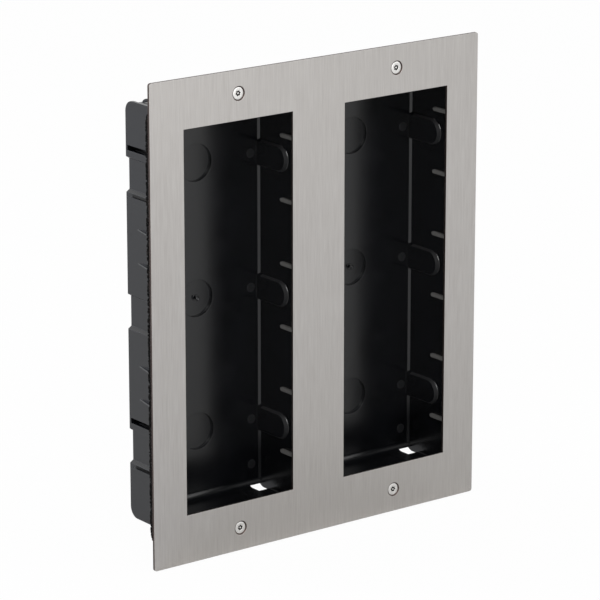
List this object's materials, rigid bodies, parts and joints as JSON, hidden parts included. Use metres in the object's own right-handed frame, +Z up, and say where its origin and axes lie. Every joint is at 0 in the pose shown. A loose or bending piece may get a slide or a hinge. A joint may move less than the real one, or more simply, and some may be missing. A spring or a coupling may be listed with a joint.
{
  "type": "flush back box",
  "caption": "Flush back box: two recessed moulded boxes side by side behind one brushed stainless fascia with two tall windows.",
  "frame": {"origin": "middle of the panel on the wall's surface, where the gasket's rear face lies", "axes": "+X to the right as seen from the front, +Y into the wall, +Z up"},
  "size_m": [0.306, 0.0575, 0.37],
  "materials": {
    "stainless_fascia": "brushed vertically",
    "foam_gasket": "open-celled black foam",
    "moulded_box": "moulded, glossy inside and satin outside",
    "steel_screws": "plain stainless",
    "brass_inserts": "turned"
  },
  "bodies": {
    "root": {"fascia_plate": "stainless_fascia", "foam_gasket": "foam_gasket", "back_box_left": "moulded_box", "back_box_right": "moulded_box", "fascia_screw_top_left": "steel_screws", "threaded_insert_top_left": "brass_inserts", "fascia_screw_top_right": "steel_screws", "threaded_insert_top_right": "brass_inserts", "fascia_screw_bottom_left": "steel_screws", "threaded_insert_bottom_left": "brass_inserts", "fascia_screw_bottom_right": "steel_screws", "threaded_insert_bottom_right": "brass_inserts"}
  },
  "joints": []
}
